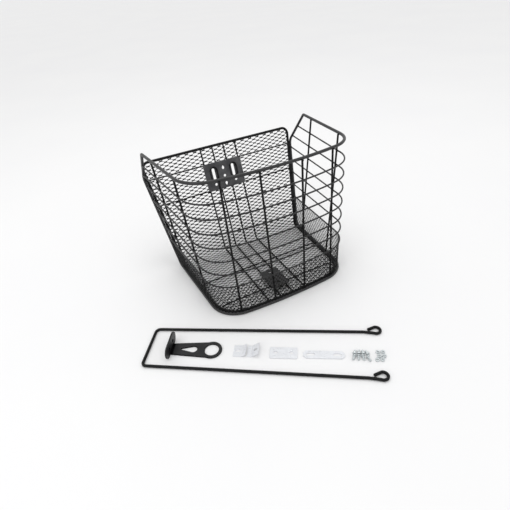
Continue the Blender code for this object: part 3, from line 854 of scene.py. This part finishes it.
def long_wires(look):
    """Wires bent with the panel: down the back inside the mesh, then forward along the bottom."""
    height = LOOP_RADIUS + LONG_OFFSET
    overlap = 0.3 * LOOP_RADIUS
    for number, x in enumerate(LONG_PLACES, 1):
        front = Vector((x, front_y(x, LOOP_RADIUS) + PANEL_INSET + overlap, height))
        corner = Vector((x, -LONG_OFFSET * math.tan(PANEL_TURN / 2), height))
        top = on_panel(x, PANEL_LENGTH - overlap, LONG_OFFSET)
        path = rounded([front, corner, top], [0, LONG_BEND, 0])
        wire(f"long_wire_{number}", path, LONG_RADIUS, look)


def cross_wires(look):
    """Straight wires across the long ones, with ends that dip to the panel's frame."""
    low = LOOP_RADIUS + 0.8 * CROSS_RADIUS
    bends = [0] + 4 * [CROSS_BEND] + [0]
    for name, v in CROSS_PLACES.items():
        middle = on_panel(0, v, 0)
        reach = side_x(middle.y, middle.z) - PANEL_INSET
        inner = reach - CROSS_DIP
        ends = [(-reach, low), (-reach + CROSS_TOUCH, low), (-inner, CROSS_OFFSET)]
        ends += [(inner, CROSS_OFFSET), (reach - CROSS_TOUCH, low), (reach, low)]
        path = rounded([on_panel(x, v, offset) for x, offset in ends], bends)
        wire(name, path, CROSS_RADIUS, look)


def bead(bm, place, size, outward):
    """Adds a small blob of weld, flattened along the outward direction. Size is across, up and outward."""
    out = outward.normalized()
    across = out.orthogonal().normalized()
    if abs(out.z) < 0.9:
        across = Vector((0, 0, 1)).cross(out).normalized()
    up = out.cross(across)
    turn = Matrix((across, up, out)).transposed().to_4x4()
    shape = moved(*place) @ turn @ Matrix.Diagonal((*size, 1))
    bmesh.ops.create_icosphere(bm, subdivisions=2, radius=1, matrix=shape)


def weld_beads(look):
    """Small welds where the wires meet."""
    bm = bmesh.new()
    for name in UPRIGHTS:
        path = upright_path(name)
        front = name.startswith("upright_front")
        out = Vector((0, -1, 0)) if front else Vector((math.copysign(1, path[0].x), 0, 0))
        for level in range(LEVEL_COUNT):
            part = (level_height(level) - path[0].z) / (path[-1].z - path[0].z) * (len(path) - 1)
            near = path[int(part)].lerp(path[int(part) + 1], part % 1)
            bead(bm, near + out * (UPRIGHT_RADIUS + WELD_LIFT), WELD_SIZES["level"], out)
        bead(bm, path[-1] + out * UPRIGHT_RADIUS * 0.8, WELD_SIZES["rim"], out)
        bead(bm, path[0] + out * UPRIGHT_RADIUS * 0.5, WELD_SIZES["foot"], out)
    for level in range(LEVEL_COUNT):
        z = level_height(level)
        rear = rear_y(z) - LOOP_RADIUS
        for side in (-1, 1):
            bead(bm, side_point(side, rear, z, LEVEL_OUTSET), WELD_SIZES["level_end"], Vector((0, -1, 0)))
    middle = (LONG_OFFSET + CROSS_OFFSET) / 2
    for x in LONG_PLACES:
        for v in CROSS_PLACES.values():
            place = on_panel(x, v, middle)
            bead(bm, place, WELD_SIZES["cross"], on_panel(x, v, 1) - on_panel(x, v, 0))
    show("weld_beads", "", bm, WELD_SHARP, look)


# Basket: expanded metal


def lattice(low, high, left_out, *, pitch, half, power, side_points, thickness, lean):
    """Expanded metal in the plane from the low to the high corner, with thickness along z.

    Cells are rhombs that share their sides. Each has one opening, and its strands lean out of the plane.
    Cells whose middle is left out leave a closed edge round them.
    """
    half_long = pitch[0] / 2
    half_short = pitch[1] / 2
    around = []
    for quarter, (sign_x, sign_y) in enumerate(QUARTERS):
        for step in range(side_points):
            part = 1 - step / side_points if quarter % 2 else step / side_points
            angle = part * math.pi / 2
            outer = (sign_x * half_long * (1 - part), sign_y * half_short * part)
            lens_x = half[0] * abs(math.cos(angle)) ** (2 / power)
            lens_y = half[1] * math.sin(angle) ** (2 / power)
            around.append((outer, (sign_x * lens_x, sign_y * lens_y)))

    bm = bmesh.new()
    posts = {}
    borders = {}

    def post(x, y):
        """The sheet's lower and upper corner at this place, which neighbouring cells share."""
        key = (round(x * POST_KEY_SCALE), round(y * POST_KEY_SCALE))
        if key not in posts:
            posts[key] = {side: bm.verts.new((x, y, side * thickness / 2)) for side in (-1, 1)}
        return posts[key]

    for column in range(math.floor(low[0] / half_long) - 1, math.ceil(high[0] / half_long) + 2):
        for row in range(math.floor(low[1] / half_short) - 1, math.ceil(high[1] / half_short) + 2):
            centre_x = column * half_long
            centre_y = row * half_short
            if (column + row) % 2 or left_out(centre_x, centre_y):
                continue
            outer = [post(centre_x + x, centre_y + y) for (x, y), lens in around]
            inner = {}
            for side in (-1, 1):
                inner[side] = []
                for rhomb, (x, y) in around:
                    height = lean * y / half[1] + side * thickness / 2
                    inner[side].append(bm.verts.new((centre_x + x, centre_y + y, height)))
                band(bm, [corner[side] for corner in outer], inner[side])
            band(bm, inner[1], inner[-1])
            for near, far in zip(outer, outer[1:] + outer[:1]):
                key = frozenset((near[1], far[1]))
                if borders.pop(key, None) is None:
                    borders[key] = (near[1], near[-1], far[-1], far[1])
    for border in borders.values():
        bm.faces.new(border)
    return bm


def trim(bm, outline, closed=True):
    """Cuts the lattice along a convex anticlockwise outline and closes the cut strands."""
    corners = [Vector((x, y, 0)) for x, y in outline]
    ends = corners[1:] + corners[:1] if closed else corners[1:]
    for start, end in zip(corners, ends):
        along = end - start
        if along.length > SHORTEST_CUT:
            edges = cut(bm, start, Vector((along.y, -along.x, 0)).normalized())
            open_edges = [edge for edge in edges if len(edge.link_faces) == 1]
            bmesh.ops.holes_fill(bm, edges=open_edges, sides=0)


def panel_mesh(look):
    """The back and bottom sheet of expanded metal, folded once and welded into its frame."""
    foot = half_width(0, LOOP_RADIUS) - PANEL_INSET
    top = half_width(PANEL_LEAN, PANEL_HEIGHT) - PANEL_INSET
    right_foot = Vector((foot, 0, 0))
    left_foot = Vector((-foot, 0, 0))
    front = [Vector((point.x, point.y, 0)) for point in reversed(front_points(LOOP_RADIUS, -PANEL_INSET))]
    corner = CORNER_RADIUS - PANEL_INSET
    radii = [0, corner] + [0] * (len(front) - 2) + [corner, 0]
    base_outline = rounded([left_foot] + front + [right_foot], radii, steps=SHEET_CORNER_STEPS)
    tops = [Vector((top, PANEL_LENGTH, 0)), Vector((-top, PANEL_LENGTH, 0))]
    radii = [0, PANEL_CORNER, PANEL_CORNER, 0]
    back_outline = rounded([right_foot] + tops + [left_foot], radii, steps=SHEET_CORNER_STEPS)

    def behind_bracket(x, v):
        beside = abs(x - BRACKET_MIDDLE) < BRACKET_WIDTH / 2 - BRACKET_WINDOW_EDGE
        return beside and BRACKET_BOTTOM + BRACKET_WINDOW_EDGE < v < BRACKET_TOP - BRACKET_WINDOW_EDGE

    sheet = bmesh.new()
    halves = [("base", base_outline, -BASE_DEPTH - BASE_BOW, 0.0), ("back", back_outline, 0.0, PANEL_LENGTH)]
    for half, outline, low, high in halves:
        bm = lattice((-top, low), (top, high), behind_bracket, **PANEL_OPENINGS)
        trim(bm, [(point.x, point.y) for point in outline], closed=False)
        cut(bm, (0, 0, 0), (0, 1 if half == "base" else -1, 0))
        part = bpy.data.meshes.new(half)
        bm.to_mesh(part)
        bm.free()
        sheet.from_mesh(part)
        bpy.data.meshes.remove(part)
    bmesh.ops.remove_doubles(sheet, verts=list(sheet.verts), dist=WELD_DISTANCE)
    for vert in sheet.verts:
        vert.co = on_panel(*vert.co)
    show("panel_mesh", "_lattice", sheet, MESH_SHARP, look)


def rail(path):
    """The path's length, and a function that gives its point at a share of that length."""
    along = [0.0]
    for start, end in zip(path, path[1:]):
        along.append(along[-1] + (end - start).length)

    def at(share):
        place = share * along[-1]
        index = min(max(bisect.bisect_right(along, place) - 1, 0), len(path) - 2)
        return path[index].lerp(path[index + 1], (place - along[index]) / (along[index + 1] - along[index]))

    return along[-1], at


def skirt_mesh(look):
    """The band of expanded metal round the foot of the side and front walls."""
    low_length, low_at = rail(wall_path(LOOP_RADIUS, 0, SKIRT_LOW_CLEARANCE))
    high_length, high_at = rail(wall_path(LEVEL_LOWEST, 0, SKIRT_HIGH_CLEARANCE))
    length = (low_length + high_length) / 2
    height = LEVEL_LOWEST - LOOP_RADIUS
    bm = lattice((0, 0), (length, height), lambda x, y: False, **SKIRT_OPENINGS)
    right = length - SKIRT_TRIM
    top = height - SKIRT_TRIM
    trim(bm, [(SKIRT_TRIM, SKIRT_TRIM), (right, SKIRT_TRIM), (right, top), (SKIRT_TRIM, top)])
    for vert in bm.verts:
        share = vert.co.x / length
        ahead = min(share + RAIL_STEP, 1)
        behind = max(share - RAIL_STEP, 0)
        foot = low_at(share)
        head = high_at(share)
        up = vert.co.y / height
        along = low_at(ahead).lerp(high_at(ahead), up) - low_at(behind).lerp(high_at(behind), up)
        outward = (head - foot).cross(along).normalized()
        vert.co = foot.lerp(head, up) - outward * vert.co.z
    show("skirt_mesh", "_lattice", bm, MESH_SHARP, look)


# Basket: plates


def keyhole(up, turn):
    """A bolt hole with a narrow tail, up the plate for a turn of 1 and down it for -1."""
    shape = tangent_outline((0, BOLT_HOLE_RADIUS), (-KEYHOLE_TAIL[0], KEYHOLE_TAIL[1]))
    return [(turn * y, up - turn * x) for x, y in shape]


def back_bracket(look):
    """The plate that the head bracket hooks on: two pressed pockets with a slot in each, and five holes."""
    edge = BRACKET_EDGE
    seat = BRACKET_THICKNESS - POCKET_PRESS
    below = seat - POCKET_SHEET
    size = (BRACKET_WIDTH, BRACKET_TOP - BRACKET_BOTTOM)
    outline = rounded_rectangle((0, (BRACKET_TOP + BRACKET_BOTTOM) / 2), size, BRACKET_CORNER)
    top_hole, middle_hole, bottom_hole = CENTRE_HOLES
    holes = [keyhole(top_hole, 1), circle((0, middle_hole), BOLT_HOLE_RADIUS), keyhole(bottom_hole, -1)]
    holes += [circle((side * SIDE_HOLE_PLACE[0], SIDE_HOLE_PLACE[1]), BOLT_HOLE_RADIUS) for side in (-1, 1)]
    bm = bmesh.new()
    pockets = []
    for side in (-1, 1):
        place = (side * POCKET_PLACE[0], POCKET_PLACE[1])
        pocket = stadium(place, POCKET_SIZE[1], POCKET_SIZE[0], 90)
        slot = stadium(place, HOOK_SLOT_SIZE[1], HOOK_SLOT_SIZE[0], 90)
        steps = [(POCKET_SLOPE + 2 * edge, seat), (POCKET_SLOPE + edge, seat + 0.3 * edge)]
        steps += [(POCKET_SLOPE, seat + 2 * edge), (2 * edge, BRACKET_THICKNESS - 2 * edge)]
        steps += [(0.8 * edge, BRACKET_THICKNESS - 0.5 * edge), (-edge, BRACKET_THICKNESS)]
        pocket_foot, pocket_rim = wall(bm, pocket, steps)
        steps = [(POCKET_SLOPE, below), (0.3 * POCKET_SLOPE, below + 2 * edge), (-edge, 0)]
        outer_foot, outer_rim = wall(bm, pocket, steps)
        slot_bottom, slot_top = wall(bm, slot, eased(below, seat, 0.6 * edge, -1))
        fill(bm, [pocket_foot, slot_top])
        fill(bm, [outer_foot, slot_bottom])
        pockets.append((outer_rim, pocket_rim))
    add_plate(bm, outline, holes, BRACKET_THICKNESS, edge, pockets)
    place = BASKET @ moved(BRACKET_MIDDLE, 0, LOOP_RADIUS)
    place = place @ turned(PANEL_TURN, "X") @ moved(0, 0, PLATE_OFFSET)
    show("back_bracket", "_plate", bm, BRACKET_SHARP, look, place=place)


def stay_plate(look):
    """The plate on the bottom that the stay's clamp is bolted to."""
    middle = (0, -STAY_PLATE_REAR - STAY_PLATE_SIZE[1] / 2)
    outline = rounded_rectangle(middle, STAY_PLATE_SIZE, STAY_PLATE_CORNER)
    holes = [circle((0, -depth), BOLT_HOLE_RADIUS) for depth in STAY_PLATE_HOLES]
    place = BASKET @ moved(STAY_PLATE_MIDDLE, 0, LOOP_RADIUS + PLATE_OFFSET)
    plate("stay_plate", outline, holes, STAY_PLATE_THICKNESS, look, "basket", place)


# Mounting kit on the floor


def stay(look):
    """The rod from under the basket to the front axle, bent to a U, with an open eye on each leg."""

    def leg(side):
        """From the back corner to the tip of the eye. Both eyes curl the same way."""
        line_y = side * STAY_EYE_HALF
        points = [(STAY_BACK, side * STAY_BACK_HALF), (EYE_PLACE - 3 * EYE_RADIUS, line_y)]
        points += arc((EYE_PLACE, line_y + EYE_OFFSET), EYE_RADIUS, *EYE_ARC, EYE_STEPS)
        points.append((EYE_PLACE - EYE_TIP, line_y + 2 * ROD_RADIUS + EYE_TIP_GAP))
        return [Vector((x, y, 0)) for x, y in points]

    left = leg(1)
    points = left[::-1] + leg(-1)
    straight = [0] * (len(left) - 1)
    radii = straight + [STAY_BEND, STAY_BEND] + straight
    place = ROW @ moved(0, STAY_MIDDLE, ROD_RADIUS) @ turned(STAY_TURN)
    wire("stay", rounded(points, radii), ROD_RADIUS, look, "stay", place, sides=LOOP_SIDES)


def head_bracket(look):
    """A flat arm from a ring, which sits on the steering head, welded to an upright oval flange."""
    reach = math.hypot(ARM_LENGTH, ARM_HALF_WIDTH)
    touch = math.degrees(math.acos(RING_RADIUS / reach))
    touch += math.degrees(math.atan2(ARM_HALF_WIDTH, -ARM_LENGTH)) - 180
    ring = arc((0, 0), RING_RADIUS, -180 + touch, 180 - touch, RING_SIDES)
    outline = ring + [(-ARM_LENGTH, ARM_HALF_WIDTH), (-ARM_LENGTH, -ARM_HALF_WIDTH)]
    holes = [circle((0, 0), RING_HOLE_RADIUS, RING_SIDES), tangent_outline(DROP_BIG, DROP_SMALL)]
    flange_holes = [circle((side * FLANGE_HOLE_PLACE, 0), BOLT_HOLE_RADIUS) for side in (-1, 1)]
    bm = bmesh.new()
    add_plate(bm, stadium((0, 0), *FLANGE_SIZE), flange_holes, FLANGE_THICKNESS, ARM_EDGE)
    place = moved(-ARM_LENGTH - FLANGE_THICKNESS / 2, 0, FLANGE_SIZE[1] / 2)
    bm.transform(place @ turned(math.pi / 2) @ turned(math.pi / 2, "X"))
    add_plate(bm, outline, holes, ARM_THICKNESS, ARM_EDGE)
    front = -ARM_LENGTH + FLANGE_THICKNESS / 2
    reach = ARM_HALF_WIDTH - ARM_WELD_INSET
    weld = [Vector((front, side * reach, ARM_THICKNESS)) for side in (-1, 1)]
    sweep(bm, weld, ARM_WELD_RADIUS, sides=ARM_WELD_SIDES)
    show("head_bracket", "_plate", bm, PLATE_SHARP, look, "head_bracket", ROW)


def clips(look):
    """Two identical plates, each bent once. One lies on its long leg, the other on its short leg."""
    middle = ((CLIP_SHORT - CLIP_LONG) / 2, 0)
    outline = rounded_rectangle(middle, (CLIP_LONG + CLIP_SHORT, CLIP_WIDTH), CLIP_CORNER)
    slot = stadium((-CLIP_LONG / 2, 0), *CLIP_SLOT)
    reach = (CLIP_BEND + CLIP_THICKNESS) * math.tan(CLIP_ANGLE / 2)
    for side, fold in CLIP_FOLDS.items():
        bm = bmesh.new()
        add_plate(bm, outline, [slot], CLIP_THICKNESS, CLIP_EDGE)
        for step in range(CLIP_BEND_STEPS + 1):
            cut(bm, (reach * (2 * step / CLIP_BEND_STEPS - 1), 0, 0), (1, 0, 0), clear=False)
        for vert in bm.verts:
            vert.co.x, vert.co.z = bent(vert.co.x, vert.co.z, CLIP_ANGLE, CLIP_BEND + CLIP_THICKNESS)
        place = ROW @ moved(fold, 0)
        if side == "right":
            place = place @ turned(math.pi) @ turned(CLIP_ANGLE, "Y")
        show("clip_" + side, "_plate", bm, PLATE_SHARP, look, "clip_" + side, place)


def clamp_plate(look):
    """A rectangular plate with two holes, which clamps the stay."""
    holes = [circle((side * CLAMP_HOLE_PLACE, 0), CLAMP_HOLE_RADIUS) for side in (-1, 1)]
    outline = rounded_rectangle((0, 0), CLAMP_SIZE, CLAMP_CORNER)
    plate("clamp_plate", outline, holes, CLAMP_THICKNESS, look, "clamp_plate", ROW @ moved(*CLAMP_PLACE))


def slotted_strip(look):
    """A strip with cut corners and a slot near each end."""
    outline = rounded_rectangle((0, 0), STRIP_SIZE, STRIP_CUT, 1)
    holes = [stadium((side * STRIP_SLOT_PLACE, 0), *STRIP_SLOT) for side in (-1, 1)]
    plate("slotted_strip", outline, holes, STRIP_THICKNESS, look, "slotted_strip", ROW @ moved(*STRIP_PLACE))


def threaded(bm, low, high, sides, inner=False):
    """Adds a thread about the Z axis and returns its lowest and highest ring."""
    steps = round((high - low) / THREAD_PITCH * THREAD_STEPS)
    rings = []
    for step in range(steps + 1):
        z = low + (high - low) * step / steps
        ring = []
        for side in range(sides):
            turn = (z / THREAD_PITCH - side / sides) % 1
            groove = THREAD_DEPTH * abs(2 * turn - 1)
            ease = min(1, 3 * min(z - low, high - z) / THREAD_PITCH)
            radius = SHANK_RADIUS - (groove if inner else groove * ease + THREAD_DEPTH * (1 - ease))
            ring.append(bm.verts.new((*polar(radius, 2 * math.pi * side / sides), z)))
        rings.append(ring)
    band(bm, *rings)
    return rings[0], rings[-1]


def recess_outline(reach, half):
    """A cross whose arms reach this far and are this wide to each side."""
    points = []
    for turn in range(4):
        for x, y in ((reach, half), (half, half), (half, reach)):
            for _ in range(turn):
                x, y = -y, x
            points.append((x, y))
    return points


def screws(look):
    """Pan head screws with a cross recess and a full thread, each lying on its head's rim and its tip."""
    tilt = math.atan2(HEAD_RADIUS - SHANK_RADIUS, SHANK_LENGTH)
    crown_steps = [(share * HEAD_RADIUS, -HEAD_HEIGHT * height) for share, height in HEAD_DOME]
    for number, (along, across, heading) in enumerate(SCREW_PLACES, 1):
        bm = bmesh.new()
        shank_root, shank_tip = threaded(bm, 0, SHANK_LENGTH, SCREW_SIDES)
        bm.faces.new(shank_tip)
        crown, under = wall(bm, circle((0, 0), HEAD_RADIUS, SCREW_SIDES), crown_steps)
        fill(bm, [under, shank_root])
        recess = []
        for depth, reach_share, half_share in RECESS_STEPS:
            outline = recess_outline(RECESS_REACH * reach_share, RECESS_HALF * half_share)
            recess.append([bm.verts.new((x, y, depth - HEAD_HEIGHT)) for x, y in outline])
        band(bm, *recess)
        fill(bm, [crown, recess[0]])
        fill(bm, [recess[1]])
        place = ROW @ moved(along, across, HEAD_RADIUS * math.cos(tilt)) @ turned(math.radians(heading))
        place = place @ turned(tilt, "Y") @ turned(math.pi / 2, "Y") @ turned(number * SCREW_ROLL)
        show(f"screw_{number}", "_threaded", bm, PLATE_SHARP, look, "screws", place)


def nuts(look):
    """Hexagon nuts with chamfered corners and a threaded bore."""
    land = NUT_LAND_SHARE * NUT_ACROSS_FLATS / 2
    angles = [2 * math.pi * side / NUT_SIDES for side in range(NUT_SIDES)]
    hexagon = [NUT_ACROSS_FLATS / 2 / math.cos(angle % (math.pi / 3) - math.pi / 6) for angle in angles]
    bevels = [(radius - land) * math.tan(NUT_CHAMFER) for radius in hexagon]
    rows = [[(land, angle, 0) for angle in angles], list(zip(hexagon, angles, bevels))]
    rows += [[(radius, angle, NUT_HEIGHT - z) for radius, angle, z in row] for row in reversed(rows)]
    for number, (along, across, heading) in enumerate(NUT_PLACES, 1):
        bm = bmesh.new()
        rings = []
        for row in rows:
            rings.append([bm.verts.new((*polar(radius, angle), z)) for radius, angle, z in row])
        band(bm, *rings)
        bores = threaded(bm, THREAD_CHAMFER, NUT_HEIGHT - THREAD_CHAMFER, THREAD_SIDES, True)
        for bore, height, face in zip(bores, (0, NUT_HEIGHT), (rings[0], rings[-1])):
            outline = circle((0, 0), SHANK_RADIUS + BORE_FLARE, THREAD_SIDES)
            mouth = [bm.verts.new((x, y, height)) for x, y in outline]
            band(bm, mouth, bore)
            fill(bm, [face, mouth])
        place = ROW @ moved(along, across) @ turned(math.radians(heading))
        show(f"nut_{number}", "_threaded", bm, NUT_SHARP, look, "nuts", place)


# Stage


def floor():
    mesh = bpy.data.meshes.new("floor")
    corners = [(-1, -1, 0), (1, -1, 0), (1, 1, 0), (-1, 1, 0)]
    mesh.from_pydata([(FLOOR_HALF * x, FLOOR_HALF * y, z) for x, y, z in corners], [], [(0, 1, 2, 3)])
    mesh.materials.append(floor_paper())
    made = added("floor", mesh)
    made.location = (0, 0, -FLOOR_GAP)


def studio():
    """A room that is bright above and a little dimmer near the floor, with two large soft lights."""
    world = bpy.data.worlds.new("studio")
    world.use_nodes = True
    node = node_maker(world.node_tree)
    heading = node("ShaderNodeTexCoord").outputs["Generated"]
    up = node("ShaderNodeSeparateXYZ", {"Vector": heading}).outputs["Z"]
    background = world.node_tree.nodes["Background"]
    background.inputs["Color"].default_value = (1.0, 1.0, 1.0, 1.0)
    strength = mapped(node, up, 0.0, WORLD_HIGH_FROM, WORLD_LOW, WORLD_HIGH)
    world.node_tree.links.new(strength, background.inputs["Strength"])
    bpy.context.scene.world = world
    bpy.context.scene.view_settings.view_transform = "Standard"
    for name, (place, target, size, power) in LIGHTS.items():
        light = bpy.data.lights.new(name, "AREA")
        light.shape = "DISK"
        light.size = size
        light.energy = power
        made = added(name, light)
        made.location = place
        made.rotation_euler = (Vector(target) - Vector(place)).to_track_quat("-Z", "Y").to_euler()


def camera():
    data = bpy.data.cameras.new("camera")
    data.sensor_width = 36.0
    data.lens = CAMERA_LENS
    data.shift_x = CAMERA_SHIFT[0]
    data.shift_y = CAMERA_SHIFT[1]
    data.clip_start = 0.01
    made = added("camera", data)
    turn = turned(CAMERA_YAW) @ turned(math.pi / 2 - CAMERA_PITCH, "X") @ turned(CAMERA_ROLL)
    made.matrix_world = BASKET @ moved(*CAMERA_PLACE) @ turn
    bpy.context.scene.camera = made


def build():
    paint = {name: black_paint("black_paint_" + name, *values) for name, values in BLACK_PAINTS.items()}
    zinc = {name: zinc_plate("zinc_" + name, *values) for name, values in ZINC_PLATES.items()}
    rim_wire(paint["rim"])
    panel_frame(paint["frame"])
    level_wires(paint["levels"])
    uprights(paint["grid"])
    long_wires(paint["grid"])
    cross_wires(paint["grid"])
    weld_beads(paint["grid"])
    panel_mesh(paint["mesh"])
    skirt_mesh(paint["mesh"])
    back_bracket(paint["bracket"])
    stay_plate(paint["plates"])
    stay(paint["frame"])
    head_bracket(paint["plates"])
    clips(zinc["plates"])
    clamp_plate(zinc["plates"])
    slotted_strip(zinc["plates"])
    screws(zinc["fasteners"])
    nuts(zinc["fasteners"])
    floor()
    studio()
    camera()


build()
